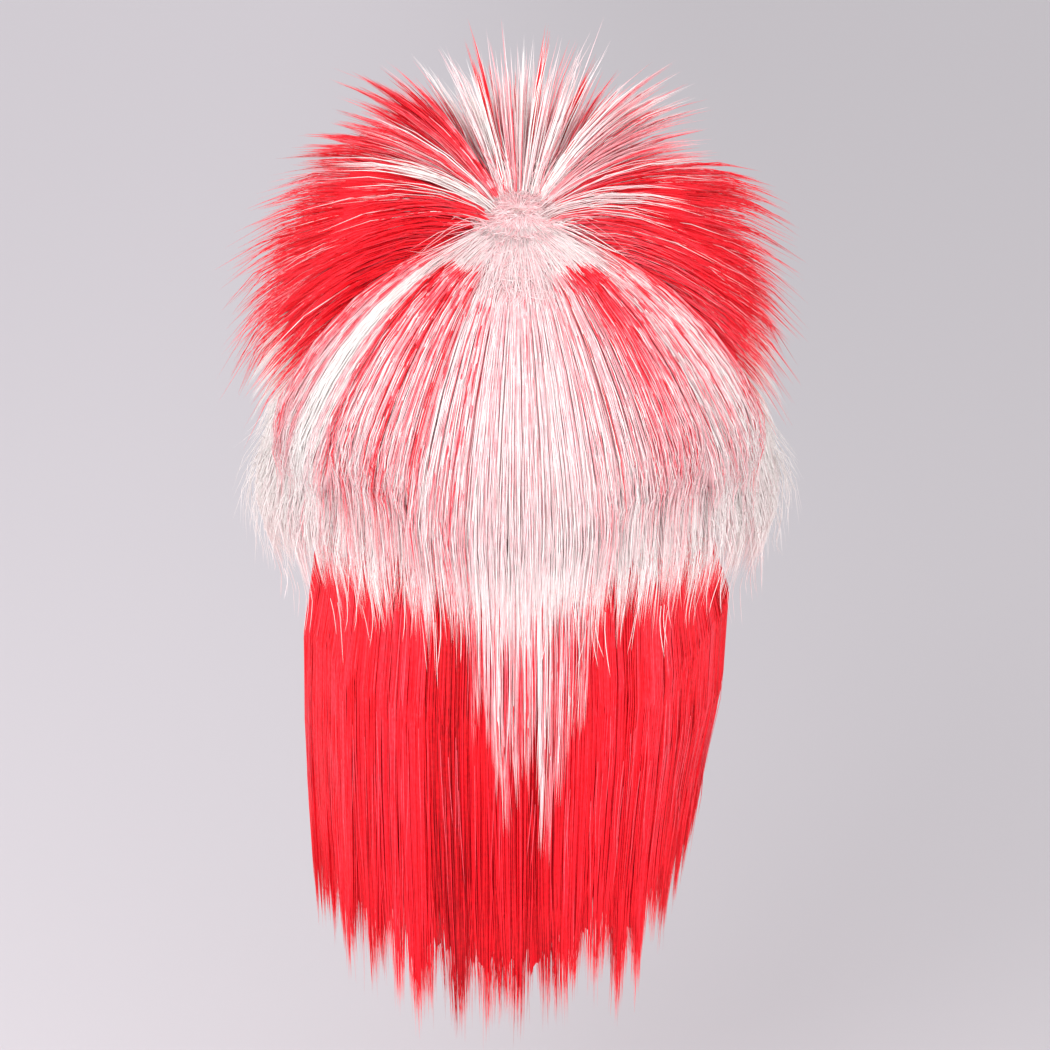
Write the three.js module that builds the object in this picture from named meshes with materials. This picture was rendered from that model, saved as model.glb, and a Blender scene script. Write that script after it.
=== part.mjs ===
// A red and white mullet wig: a stretch net cap with an elastic edge band, and the rows of hair (wefts) sewn to it.
// Short spiky hair bursts from a whorl at the back of the crown, a white band runs round the head below it, and a
// long red tail with a white centre stripe hangs down the back. The wig stands as a head holds it.
// Millimetres. +Z is up, +Y the way the wearer looks, +X the wearer's right. The origin is the top of the hollow,
// where the crown of the head touches the cap.
import * as THREE from "three";

// The head that the cap fits, 54 to 56 cm round
const headWidth = 152;
const headLength = 190;
const crownHeight = 112; // from the head's widest level up to its crown
const napeDepth = 95; // how far the head's egg reaches below its widest level

// Cap
const capWall = 1.6;
const edgeHeight = 16;
const clearance = 0.4; // between neighbouring pieces

// Hair
const whorlDrop = 23; // degrees from the crown down the back to the whorl
const spikeReach = 80; // spiky tips outside the head
const backReach = 50; // tips of the hair that falls over the back of the head
const fringeReach = 24;
const bandFlare = 55; // how far the white band's cut edge stands out from its roots at the sides
const bandSetBack = 46; // and behind them
const bandDrop = 190; // from the crown to the band's cut edge
const tailFlare = 33;
const tailSetBack = 19;
const tailDrop = 420; // from the crown to the longest tip
const stripeDrop = 306;

// Thickness of the rows of hair
const curtainThickness = 11;
const spikeThickness = 14;
const stripeThickness = 6;
const rootThickness = 2.4;
const edgeThickness = 1.2;

const RED = { color: 0xe8101c, roughness: 0.45, metalness: 0 };
const WHITE = { color: 0xf3e9e6, roughness: 0.45, metalness: 0 };
const NET = { color: 0xe9e4de, roughness: 0.9, metalness: 0 };
const ELASTIC = { color: 0xf4f1ee, roughness: 0.8, metalness: 0 };

const hairStart = capWall + 2 * clearance; // so that a flat facet, which dips towards the head, clears the cap too
const radians = THREE.MathUtils.degToRad;
const mix = THREE.MathUtils.lerp;
const headCentre = new THREE.Vector3(0, 0, -crownHeight);
const sideways = new THREE.Vector3(1, 0, 0);

// A point on or outside the head's egg, along a direction from its centre.
function outside(direction, out) {
  const half = direction.z > 0 ? crownHeight : napeDepth;
  const share = Math.hypot(direction.x / (headWidth / 2), direction.y / (headLength / 2), direction.z / half);
  return headCentre.clone().addScaledVector(direction, 1 / share + out);
}

// The direction at an angle down from the pole, turned round it from the back (0) to the wearer's right (90).
function direction(turn, down) {
  const [around, below] = [radians(turn), radians(down)];
  const flat = Math.sin(below);
  return new THREE.Vector3(flat * Math.sin(around), -flat * Math.cos(around), Math.cos(below));
}

// The two ways to find a place: down from the crown, or down from the whorl, as the spiky hair is combed.
const fromCrown = (turn, down, out) => outside(direction(turn, down), out);
const fromWhorl = (turn, down, out) =>
  outside(direction(turn, down).applyAxisAngle(sideways, radians(whorlDrop)), out);

// Reads a column of a table at a place between its rows, which another column, the key, gives.
function column(rows, key, place, name) {
  const next = Math.max(1, rows.findIndex((row) => row[key] >= place - 1e-9));
  const [a, b] = [rows[next - 1], rows[next]];
  return mix(a[name], b[name], THREE.MathUtils.smoothstep(place, a[key], b[key]));
}

function geometryOf(positions, indices) {
  const geometry = new THREE.BufferGeometry();
  geometry.setAttribute("position", new THREE.Float32BufferAttribute(positions, 3));
  geometry.setIndex(indices);
  geometry.computeVertexNormals();
  return geometry;
}

// Cap. Its rim is low at the nape, cut up over the ears, has a tab before each ear and ends at the hairline.
const rimTable = [
  { turn: 0, down: 129 },
  { turn: 60, down: 121 },
  { turn: 90, down: 93 },
  { turn: 114, down: 101 },
  { turn: 142, down: 76 },
  { turn: 180, down: 60 },
];
const capColumns = 36;
const capRows = 12;
const degreesOver = (length) => THREE.MathUtils.radToDeg(length / (headLength / 2));
const rimDown = (turn) => column(rimTable, "turn", Math.abs(turn), "down");
const bandTop = (turn) => rimDown(turn) - degreesOver(edgeHeight);

// A closed skin from rings of points round the head. A ring of one point is a pole, and without poles the last ring
// joins the first.
function skinOf(rings) {
  const positions = rings.flat().flatMap((point) => point.toArray());
  const starts = rings.map((_, i) => rings.slice(0, i).flat().length);
  const joins = rings[0].length === 1 ? rings.length - 1 : rings.length;
  const indices = [];
  for (let i = 0; i < joins; i++) {
    const next = (i + 1) % rings.length;
    for (let k = 0; k < capColumns; k++) {
      const a = starts[i] + (k % rings[i].length);
      const b = starts[i] + ((k + 1) % rings[i].length);
      const c = starts[next] + (k % rings[next].length);
      const d = starts[next] + ((k + 1) % rings[next].length);
      if (a !== b) indices.push(a, c, b);
      if (c !== d) indices.push(b, c, d);
    }
  }
  return geometryOf(positions, indices);
}

function ring(downAt, out) {
  const turns = Array.from({ length: capColumns }, (_, k) => (360 * k) / capColumns - 180);
  return turns.map((turn) => fromCrown(turn, downAt(turn), out));
}

function capNet() {
  const edge = (turn) => bandTop(turn) - degreesOver(clearance);
  const shares = Array.from({ length: capRows }, (_, i) => (i + 1) / capRows);
  const shell = (out) => shares.map((share) => ring((turn) => share * edge(turn), out));
  return skinOf([[fromCrown(0, 0, capWall)], ...shell(capWall), ...shell(0).reverse(), [fromCrown(0, 0, 0)]]);
}

const edgeBand = () => skinOf([ring(bandTop, capWall), ring(rimDown, capWall), ring(rimDown, 0), ring(bandTop, 0)]);

// How thick a row has grown at a share of its length.
const swell = (thickness, share) => mix(rootThickness, thickness, Math.min(1, share / 0.25));

// The way out of a sheet at a place: square to it, on the side away from the head.
function outward(sheet, at, along) {
  const step = 1e-3;
  const across = sheet(Math.min(1, at + step), along).sub(sheet(Math.max(0, at - step), along));
  const onward = sheet(at, Math.min(1, along + step)).sub(sheet(at, Math.max(0, along - step)));
  return onward.cross(across).normalize();
}

// A weft is a row of locks that part at the notch and end in points. sheet(at, along) gives the surface that its
// inner side follows, with at the share of its width and along the share from root to tip. tips holds where each
// lock ends, and lifts how far its point stands off the sheet, as shares of the thickness.
function weft({ sheet, tips, lifts, notch, thickness, sheetRows, tipRows, facets }) {
  const positions = [];
  const indices = [];
  const corner = (point) => positions.push(...point.toArray()) / 3 - 1;
  const quad = (a, b, c, d) => indices.push(a, b, c, a, c, d);
  const fan = (loop) => loop.slice(2).forEach((last, k) => indices.push(loop[0], loop[k + 1], last));

  function section(lock, row) {
    const free = Math.max(0, (row - sheetRows) / tipRows); // 0 at the notch, 1 at the tip
    const along = free > 0 ? mix(notch, tips[lock], free) : (notch * row) / sheetRows;
    const narrow = 1 - 0.92 * free ** 1.4;
    const full = swell(thickness, along) * (1 - 0.8 * free);
    const lift = lifts[lock % lifts.length] * thickness * free ** 2;
    const points = Array.from({ length: facets + 1 }, (_, k) => {
      const side = (2 * k) / facets - 1;
      const at = (lock + 0.5 + (side * narrow) / 2) / tips.length;
      const out = outward(sheet, at, along);
      const depth = mix(edgeThickness, full, Math.cos((side * Math.PI) / 2));
      return { base: sheet(at, along).addScaledVector(out, lift), out, depth };
    });
    const outer = points.map(({ base, out, depth }) => corner(base.clone().addScaledVector(out, depth)));
    const inner = [points[0], points[facets]].map(({ base }) => corner(base));
    return { outer, inner, free };
  }

  tips.forEach((_, lock) => {
    const sections = Array.from({ length: sheetRows + tipRows + 1 }, (_, row) => section(lock, row));
    sections.slice(1).forEach((next, row) => {
      const here = sections[row];
      for (let k = 0; k < facets; k++) quad(here.outer[k], next.outer[k], next.outer[k + 1], here.outer[k + 1]);
      quad(here.inner[1], next.inner[1], next.inner[0], here.inner[0]);
      const first = next.free > 0 || lock === 0;
      const last = next.free > 0 || lock === tips.length - 1;
      if (first) quad(here.inner[0], next.inner[0], next.outer[0], here.outer[0]);
      if (last) quad(here.outer[facets], next.outer[facets], next.inner[1], here.inner[1]);
    });
    const loop = ({ outer, inner }) => [inner[0], ...outer, inner[1]];
    fan(loop(sections[0]));
    fan(loop(sections.at(-1)).reverse());
  });
  return geometryOf(positions, indices);
}

// The sheet of a row that bursts from the whorl. The table's columns: turn round the whorl, the angles from it at
// the root and at the tip, how far the tip stands off as a share of reach, and how much the hair droops.
function burst(table, reach) {
  return (at, along) => {
    const turn = mix(table[0].turn, table.at(-1).turn, at);
    const [root, tip, off, droop] = ["root", "tip", "off", "droop"].map((name) => column(table, "turn", turn, name));
    const climb = mix(along ** 2, along * (2 - along), droop);
    return fromWhorl(turn, mix(root, tip, along), hairStart + climb * off * reach);
  };
}

// The sheet of a row that hangs from a line of roots. The table's columns, from the root (0) to the cut edge (1):
// how far it has spread to the left, to the right and to the back, as shares of flare and setBack.
function hanging({ wrap, root, drop, flare, setBack, table }) {
  return (at, along) => {
    const turn = mix(-wrap, wrap, at);
    const spread = (name) => column(table, "along", along, name);
    const point = fromCrown(turn, root, hairStart);
    point.x += flare * spread(turn < 0 ? "left" : "right") * Math.sin(radians(turn));
    point.y -= setBack * spread("back") * Math.cos(radians(turn));
    point.z = mix(point.z, -drop, along);
    return point;
  };
}

// Uneven ends and liftings, repeated along each row.
const unevenTips = [1, 0.91, 0.97, 0.88, 0.95];
const unevenLifts = [0.1, 0.5, 0, 0.4, 0.2];
const uneven = (count) => Array.from({ length: count }, (_, k) => unevenTips[k % unevenTips.length]);

function spikyWeft(table, count, { reach = spikeReach, notch = 0.66, thickness = spikeThickness } = {}) {
  const sheet = burst(table, reach);
  const tips = uneven(count);
  return weft({ sheet, tips, lifts: unevenLifts, notch, thickness, sheetRows: 3, tipRows: 2, facets: 2 });
}

// Whorl: a small round closure, where the rows of spiky hair meet.
const closureRadius = 10;
const closureHeight = 4;
const seatOut = capWall + clearance;

function whorlClosure() {
  const profile = [[0, 0], [1, 0], [0.94, 0.55], [0.6, 0.9], [0, 1]];
  const points = profile.map(([across, high]) => new THREE.Vector2(across * closureRadius, high * closureHeight));
  const [seat, back, side] = [fromWhorl(0, 0, seatOut), fromWhorl(0, 1, seatOut), fromWhorl(90, 1, seatOut)];
  const facing = back.sub(seat).cross(side.sub(seat)).normalize();
  const turn = new THREE.Quaternion().setFromUnitVectors(new THREE.Vector3(0, 1, 0), facing);
  return new THREE.LatheGeometry(points, 14).applyQuaternion(turn).translate(...seat.toArray());
}

// Wings: four rows on the left, from the front of the head to the back. The right wing mirrors them, a little
// shorter.
const wingTables = {
  high: [
    { turn: -149, root: 7, tip: 30, off: 0.88, droop: 0.5 },
    { turn: -110, root: 7, tip: 44, off: 0.98, droop: 0.6 },
    { turn: -63, root: 7, tip: 46, off: 0.92, droop: 0.7 },
  ],
  upper: [
    { turn: -149, root: 18, tip: 46, off: 0.9, droop: 0.5 },
    { turn: -108, root: 18, tip: 60, off: 1, droop: 0.6 },
    { turn: -63, root: 18, tip: 62, off: 0.85, droop: 0.7 },
  ],
  middle: [
    { turn: -149, root: 31, tip: 64, off: 0.8, droop: 0.5 },
    { turn: -104, root: 31, tip: 75, off: 0.9, droop: 0.65 },
    { turn: -63, root: 31, tip: 78, off: 0.8, droop: 0.7 },
  ],
  low: [
    { turn: -149, root: 45, tip: 84, off: 0.66, droop: 0.6 },
    { turn: -100, root: 45, tip: 91, off: 0.8, droop: 0.7 },
    { turn: -63, root: 45, tip: 92, off: 0.74, droop: 0.7 },
  ],
};
const wingLocks = 8;
const rightShare = 0.95;

// Crown: four rows on the stripe that runs forward from the whorl.
const crownRows = [
  { name: "crown_high", root: 7, tip: 25, off: 0.92, droop: 0.4 },
  { name: "crown_upper", root: 18, tip: 41, off: 0.9, droop: 0.45 },
  { name: "crown_middle", root: 31, tip: 58, off: 0.8, droop: 0.5 },
  { name: "crown_low", root: 45, tip: 78, off: 0.64, droop: 0.6 },
];
const crownFrom = 151;
const crownTo = 209;
const crownLocks = 5;

const fringeSide = [
  { turn: -149, root: 64, tip: 106, off: 1, droop: 0.9 },
  { turn: -119, root: 66, tip: 108, off: 1, droop: 0.9 },
];
const fringeCentre = { root: 64, tip: 105, off: 1, droop: 0.9 };
const mirrored = (table) => table.map((row) => ({ ...row, turn: -row.turn })).reverse();
const across = (from, to, row) => [{ ...row, turn: from }, { ...row, turn: to }];

// Hair that falls over the back of the head: white with a red lock on each side, in sectors round the whorl.
const backSectors = [
  { name: "back_white_left", from: -61.5, to: -42.5, tip: 80, count: 3, finish: WHITE },
  { name: "back_red_left", from: -41, to: -21, tip: 54, count: 3, finish: RED },
  { name: "back_white_centre", from: -19.5, to: 17.5, tip: 77, count: 6, finish: WHITE },
  { name: "back_red_right", from: 19, to: 41, tip: 54, count: 3, finish: RED },
  { name: "back_white_right", from: 42.5, to: 61.5, tip: 80, count: 3, finish: WHITE },
];

const bandTable = [
  { along: 0, left: 0, right: 0, back: 0 },
  { along: 0.45, left: 0.72, right: 0.7, back: 0.55 },
  { along: 0.72, left: 1, right: 0.97, back: 0.9 },
  { along: 1, left: 0.94, right: 0.92, back: 1 },
];
const bandLocks = 24;
const bandSheet = hanging({
  wrap: 112, root: 60, drop: bandDrop, flare: bandFlare, setBack: bandSetBack, table: bandTable,
});

// Tail: shorter and drawn in on the right.
const tailTable = [
  { along: 0, left: 0, right: 0, back: 0 },
  { along: 0.2, left: 0.9, right: 0.9, back: 0.55 },
  { along: 0.4, left: 1, right: 0.86, back: 1 },
  { along: 0.7, left: 0.95, right: 0.3, back: 1 },
  { along: 1, left: 0.9, right: 0.2, back: 0.9 },
];
const tailTips = [0.78, 0.8, 0.86, 0.91, 0.95, 0.96, 0.98, 1, 0.93, 0.9, 0.9, 0.83, 0.77, 0.71];
const tailNotch = 0.6;
const tailRows = 6;
const tailSheet = hanging({
  wrap: 76, root: 107, drop: tailDrop, flare: tailFlare, setBack: tailSetBack, table: tailTable,
});

// Stripe: lies on the tail, with its rows level with the tail's.
const stripeTips = [0.78, 0.97, 0.9, 1, 0.8];
const stripeFrom = 0.438;
const stripeTo = 0.592;
const stripeRows = 4;
const tailRoot = tailSheet(0.5, 0).z;
const stripeLength = (stripeDrop + tailRoot) / (tailDrop + tailRoot);

function stripeSheet(at, along) {
  const place = [mix(stripeFrom, stripeTo, at), along * stripeLength];
  const off = swell(curtainThickness, place[1]) + clearance;
  return tailSheet(...place).addScaledVector(outward(tailSheet, ...place), off);
}

const wig = new THREE.Group();
wig.name = "mullet_wig";

function add(name, geometry, finish) {
  const mesh = new THREE.Mesh(geometry, new THREE.MeshStandardMaterial(finish));
  mesh.name = name;
  wig.add(mesh);
}

add("cap_net", capNet(), NET);
add("edge_band", edgeBand(), ELASTIC);
add("whorl_closure", whorlClosure(), WHITE);
add("tail_red", weft({
  sheet: tailSheet,
  tips: tailTips,
  lifts: [0, 0.4, 0.15],
  notch: tailNotch,
  thickness: curtainThickness,
  sheetRows: tailRows,
  tipRows: 4,
  facets: 3,
}), RED);
add("tail_stripe", weft({
  sheet: stripeSheet,
  tips: stripeTips,
  lifts: [0],
  notch: (stripeRows * tailNotch) / tailRows / stripeLength,
  thickness: stripeThickness,
  sheetRows: stripeRows,
  tipRows: 3,
  facets: 2,
}), WHITE);
add("white_band", weft({
  sheet: bandSheet,
  tips: uneven(bandLocks),
  lifts: [0, 0.5, 0.2],
  notch: 0.66,
  thickness: curtainThickness,
  sheetRows: 4,
  tipRows: 2,
  facets: 2,
}), WHITE);
for (const [row, table] of Object.entries(wingTables)) {
  add(`wing_left_${row}`, spikyWeft(table, wingLocks), RED);
  add(`wing_right_${row}`, spikyWeft(mirrored(table), wingLocks, { reach: spikeReach * rightShare }), RED);
}
for (const { name, ...row } of crownRows)
  add(name, spikyWeft(across(crownFrom, crownTo, row), crownLocks, { notch: 0.5 }), WHITE);
const plainFringe = { reach: fringeReach, thickness: curtainThickness };
add("fringe_left", spikyWeft(fringeSide, 4, plainFringe), RED);
add("fringe_centre", spikyWeft(across(crownFrom, crownTo, fringeCentre), 7, plainFringe), WHITE);
add("fringe_right", spikyWeft(mirrored(fringeSide), 4, plainFringe), RED);
for (const { name, from, to, tip, count, finish } of backSectors) {
  const row = { root: 7, tip, off: 1, droop: 0.8 };
  add(name, spikyWeft(across(from, to, row), count, { reach: backReach, thickness: curtainThickness }), finish);
}

export default wig;
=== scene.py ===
"""A red and white mullet wig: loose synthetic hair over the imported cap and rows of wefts."""
# %% [markdown]
# # A mullet wig in strands
#
# The real wig is a stretch cap with rows of hair sewn to it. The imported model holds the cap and, for each row
# of hair, a solid with the row's outer form. This lesson keeps the cap and its edge band as they are, gives
# them a knitted finish, and puts loose strands in the place of the solid rows.

import math

import bpy
import numpy as np
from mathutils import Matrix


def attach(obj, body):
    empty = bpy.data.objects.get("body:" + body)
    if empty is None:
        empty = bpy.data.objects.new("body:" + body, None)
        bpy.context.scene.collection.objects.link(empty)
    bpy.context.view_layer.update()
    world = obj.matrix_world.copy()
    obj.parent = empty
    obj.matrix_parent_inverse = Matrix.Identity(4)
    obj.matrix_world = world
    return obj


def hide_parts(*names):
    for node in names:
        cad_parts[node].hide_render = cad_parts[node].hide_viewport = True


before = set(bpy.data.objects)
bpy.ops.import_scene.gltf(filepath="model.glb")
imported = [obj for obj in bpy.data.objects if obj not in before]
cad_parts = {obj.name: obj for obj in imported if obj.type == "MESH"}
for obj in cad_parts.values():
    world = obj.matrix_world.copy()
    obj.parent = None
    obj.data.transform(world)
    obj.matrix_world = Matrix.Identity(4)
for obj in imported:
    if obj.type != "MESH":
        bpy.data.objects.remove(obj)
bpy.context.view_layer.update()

# %% [markdown]
# ## The head that the wig fits
#
# Every strand starts on the cap. A place on the cap is found as a direction from the middle of an egg-shaped
# head and a distance outside it. Directions are counted down from the crown for hair that hangs, and down
# from the whorl, at the back of the crown, for hair that bursts from it. The same sizes drew the packed
# solids, so strands that are worked out this way lie inside them.

# %% Head and directions
HEAD_WIDTH = 0.152
HEAD_LENGTH = 0.190
CROWN_HEIGHT = 0.112
NAPE_DEPTH = 0.095
HAIR_START = 0.0024
WHORL_DROP = math.radians(23)


def direction(turn, down):
    """Unit vectors at an angle down from the pole, turned round it from the back (0) to the wearer's right
    (90)."""
    turn, down = np.radians(turn), np.radians(down)
    flat = np.sin(down)
    return np.stack([flat * np.sin(turn), -flat * np.cos(turn), np.cos(down) + 0 * turn], axis=-1)


def outside(way, out):
    """The head's egg along each direction, in its upper or lower half, plus a distance outside it."""
    half = np.where(way[..., 2] > 0, CROWN_HEIGHT, NAPE_DEPTH)
    flat = (way[..., 0] * 2 / HEAD_WIDTH) ** 2 + (way[..., 1] * 2 / HEAD_LENGTH) ** 2
    share = np.sqrt(flat + (way[..., 2] / half) ** 2)
    point = way * (1 / share + out)[..., None]
    point[..., 2] -= CROWN_HEIGHT
    return point


def from_crown(turn, down, out):
    """Points found down from the crown."""
    return outside(direction(turn, down), out + 0 * turn)


def from_whorl(turn, down, out):
    """Points found down from the whorl: the same, with the pole tipped back about the side-to-side line."""
    way = direction(turn, down)
    tipped = way.copy()
    tipped[..., 1] = way[..., 1] * math.cos(WHORL_DROP) - way[..., 2] * math.sin(WHORL_DROP)
    tipped[..., 2] = way[..., 1] * math.sin(WHORL_DROP) + way[..., 2] * math.cos(WHORL_DROP)
    return outside(tipped, out)


def mix(a, b, share):
    """A straight blend of two values."""
    return a + (b - a) * share


def column(rows, place, index, key=0):
    """One column of a table, read between its rows with smooth steps. Column key says where the rows stand."""
    table = np.asarray(rows, dtype=float)
    keys, values = table[:, key], table[:, index]
    last = np.clip(np.searchsorted(keys, place), 1, len(keys) - 1)
    share = np.clip((place - keys[last - 1]) / (keys[last] - keys[last - 1]), 0, 1)
    return mix(values[last - 1], values[last], share * share * (3 - 2 * share))


print("the whorl is at", from_whorl(np.array([0.0]), np.array([0.0]), np.array([0.0]))[0].round(4))

# %% [markdown]
# ## One strand, and thousands
#
# A real fibre is about 0.08 mm thick, far too fine to model singly. Each strand here stands for a few fibres
# that cling together: a closed tube of three sides that tapers to a point. All the strands of a row are
# worked out at once, as arrays, from the path of each strand and its thickness along it.

# %% Strands to mesh
RANDOM = np.random.default_rng(11)
SIDES = 3
HEAD_MIDDLE = np.array([0.0, 0.0, -0.1])


def mesh_piece(name, corners, faces, smooth, **attributes):
    """An object from whole arrays: corners (n, 3), faces (m, 3), whether each face is smooth, and one value a
    corner for each attribute."""
    mesh = bpy.data.meshes.new(name)
    mesh.vertices.add(len(corners))
    mesh.vertices.foreach_set("co", corners.ravel())
    mesh.loops.add(faces.size)
    mesh.polygons.add(len(faces))
    mesh.polygons.foreach_set("loop_start", np.arange(0, faces.size, 3, dtype=np.int32))
    mesh.polygons.foreach_set("vertices", faces.ravel().astype(np.int32))
    mesh.polygons.foreach_set("use_smooth", smooth)
    for attribute, values in attributes.items():
        data = mesh.attributes.new(attribute, "FLOAT", "POINT")
        data.data.foreach_set("value", values.ravel().astype(np.float32))
    mesh.update()
    piece = bpy.data.objects.new(name, mesh)
    bpy.context.scene.collection.objects.link(piece)
    print(name, len(faces), "triangles")
    return piece


def strands_piece(name, paths, radii, tones):
    """Closed tubes. paths is (strands, points, 3), and radii and tones are the same without the 3.

    At each path point but the last, three corners stand round the strand, square to its tangent: spoke = out
    times cos(angle) + side times sin(angle), where side is the product of the tangent and the way from the
    head's middle, so that one wall faces outwards, give or take some degrees, and neighbours catch the same
    light. Neighbouring rings are joined, the last one runs to the end point, and the first one is closed by
    one triangle. The end is shaded flat, because a smooth point would turn its light along the hair."""
    count, points = radii.shape
    tangent = np.gradient(paths, axis=1)
    tangent /= np.linalg.norm(tangent, axis=2, keepdims=True) + 1e-12
    outwards = paths - HEAD_MIDDLE
    outwards[..., 2] = np.maximum(outwards[..., 2], 0)
    side = np.cross(tangent, outwards)
    side /= np.linalg.norm(side, axis=2, keepdims=True) + 1e-12
    out = np.cross(side, tangent)
    around = (np.arange(SIDES) + 0.5) * (2 * math.pi / SIDES) + RANDOM.normal(0, 0.25, (count, 1))
    around = around[:, None, :, None]
    spoke = out[:, :, None] * np.cos(around) + side[:, :, None] * np.sin(around)
    rings = paths[:, :-1, None] + spoke[:, :-1] * radii[:, :-1, None, None]
    per_strand = SIDES * (points - 1) + 1
    corners = np.concatenate([rings.reshape(count, -1, 3), paths[:, -1:]], axis=1).reshape(-1, 3)

    ring = np.arange(points - 2)[:, None] * SIDES
    a = ring + np.arange(SIDES)
    b = ring + (np.arange(SIDES) + 1) % SIDES
    walls = np.stack([a, b, b + SIDES, a, b + SIDES, a + SIDES], axis=-1).reshape(-1, 3)
    last = (points - 2) * SIDES
    end = [[last + k, last + (k + 1) % SIDES, per_strand - 1] for k in range(SIDES)]
    template = np.concatenate([walls, end, [[2, 1, 0]]])
    faces = (template[None] + np.arange(count)[:, None, None] * per_strand).reshape(-1, 3)
    tone = np.concatenate([np.repeat(tones[:, :-1], SIDES, axis=1), tones[:, -1:]], axis=1)
    smooth = np.tile(np.arange(len(template)) < len(walls), count)
    return mesh_piece(name, corners, faces, smooth, tone=tone)


# %% [markdown]
# ## Locks
#
# Hair never hangs evenly: fibres cling together in locks, wide at the root and pointed at the tip. So the
# strands of a row are shared out among locks. The locks stand evenly over the row, across it and through its
# depth, and each has its own length and lean. A strand starts near its lock's middle, gathers towards it on
# the way out, and ends earlier the further out in the lock it started, which makes the point. A few strands
# stray.

# %% Sharing strands among locks
GOLDEN = 0.618034


def comb(count, points, locks, width, gather, splay, shorten=0.35, uneven=0.12, lean=0.0, late=1.5, stray=0.05):
    """Places along every strand: across and deep (both about 0 to 1), the share of its length, and its lock.

    place = lock's middle + offset times (1 - gather times share to the power late) + (lean + looseness) times
    share squared."""
    lock = RANDOM.integers(0, locks, count)
    middle = np.stack([(lock * GOLDEN) % 1, (lock + 0.5) / locks], axis=-1)
    offset = np.clip(RANDOM.normal(0, 0.6, (count, 2)), -1.3, 1.3)
    apart = np.clip(np.hypot(offset[:, 0], offset[:, 1]) / 1.3, 0, 1)
    cut = (1 - uneven * RANDOM.random(locks))[lock]
    length = cut * (1 - shorten * apart) * RANDOM.uniform(0.95, 1.03, count)
    loose = RANDOM.normal(0, splay, (count, 2))
    loose *= np.where(RANDOM.random(count) < stray, 4, 1)[:, None]
    leans = RANDOM.normal(0, 1, (locks, 2))[lock] * lean
    share = np.linspace(0, 1, points)[None] * length[:, None]
    start = np.clip(middle + offset * width, 0, 1)
    gathered = (start - middle)[:, None] * (1 - gather * share**late)[..., None]
    place = middle[:, None] + gathered + (leans + loose)[:, None] * (share**2)[..., None]
    return place[..., 0], place[..., 1], share, lock


def taper(shape, radius, fine=0.2):
    """Radii: full to half of the length, then down to a fine tip, with thick and thin strands."""
    s = np.linspace(0, 1, shape[1])[None]
    thinned = 1 - (1 - fine) * np.clip((s - 0.5) / 0.5, 0, 1) ** 1.5
    return radius * thinned * RANDOM.uniform(0.65, 1.25, (shape[0], 1))


def tinted(table, place, share, lock, pale=0.0):
    """Tones from a table with the columns place, near the root, midway, at the tip, and spread. Locks and
    strands differ by the spread, and a share of the strands is pale."""
    near, middle, tip, spread = (column(table, place, k) for k in (1, 2, 3, 4))
    base = np.where(share < 0.5, mix(near, middle, share * 2), mix(middle, tip, share * 2 - 1))
    shift = RANDOM.normal(0, 0.6, lock.max() + 1)[lock] + RANDOM.normal(0, 0.9, len(lock))
    white = (RANDOM.random(len(lock)) < pale)[:, None]
    return np.clip(np.where(white, 0.12, base) + shift[:, None] * spread, 0, 1)


# %% [markdown]
# ## Combed cores
#
# Deep inside a row the fibres lie so close that nothing shows between them. A closed core fills that inside,
# so that the strands over it need not be counted in tens of thousands. Its ends are cut unevenly, and its
# material draws fine streaks along it.

# %% Cores
def core_piece(name, outer, inner, tones):
    """A closed body between two sheets of points, each (columns, rows, 3), with the root in row 0. Every
    column gives a ring, out along the outer sheet and back along the inner one, and strips close the two end
    rings."""
    rings = np.concatenate([outer, inner[:, ::-1]], axis=1)
    columns, around = rings.shape[:2]
    i, k = np.meshgrid(np.arange(columns - 1), np.arange(around), indexing="ij")
    a, b = i * around + k, i * around + (k + 1) % around
    c, d = a + around, b + around
    walls = np.stack([a, b, d, a, d, c], axis=-1).reshape(-1, 3)
    row = np.arange(around // 2 - 1)
    strip = [[row, around - 1 - row, around - 2 - row], [row, around - 2 - row, row + 1]]
    strip = np.concatenate([np.stack(three, axis=-1) for three in strip])
    faces = np.concatenate([walls, strip, strip[:, ::-1] + (columns - 1) * around])
    corners = rings.reshape(-1, 3)
    first, second, third = (corners[faces[:, n]] for n in range(3))
    if np.einsum("ij,ij->i", first, np.cross(second, third)).sum() < 0:
        faces = faces[:, ::-1]
    tone = np.concatenate([tones, tones[:, ::-1]], axis=1)
    across = np.repeat(np.arange(columns), around) / columns
    return mesh_piece(name, corners, faces, np.ones(len(faces), dtype=bool), tone=tone, across=across)


def ragged(columns, share, cut=0.25):
    """A length for each column: neighbours differ by up to the cut."""
    return share * (1 - cut * RANDOM.random(columns))


# %% [markdown]
# ## Materials
#
# The hair is modacrylic fibre: a smooth plastic thread, drawn and heat-set straight, with a soft gloss. Red
# and white threads are mixed in places, which gives the pinks. Each strand carries a tone, 0 for white and 1
# for deep red, and the material turns it into a colour.

# %% Material helpers
def colour(text):
    """sRGB hex to linear red, green, blue and alpha."""
    parts = [int(text[i : i + 2], 16) / 255 for i in (1, 3, 5)]
    linear = [part / 12.92 if part <= 0.04045 else ((part + 0.055) / 1.055) ** 2.4 for part in parts]
    return (*linear, 1.0)


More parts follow.
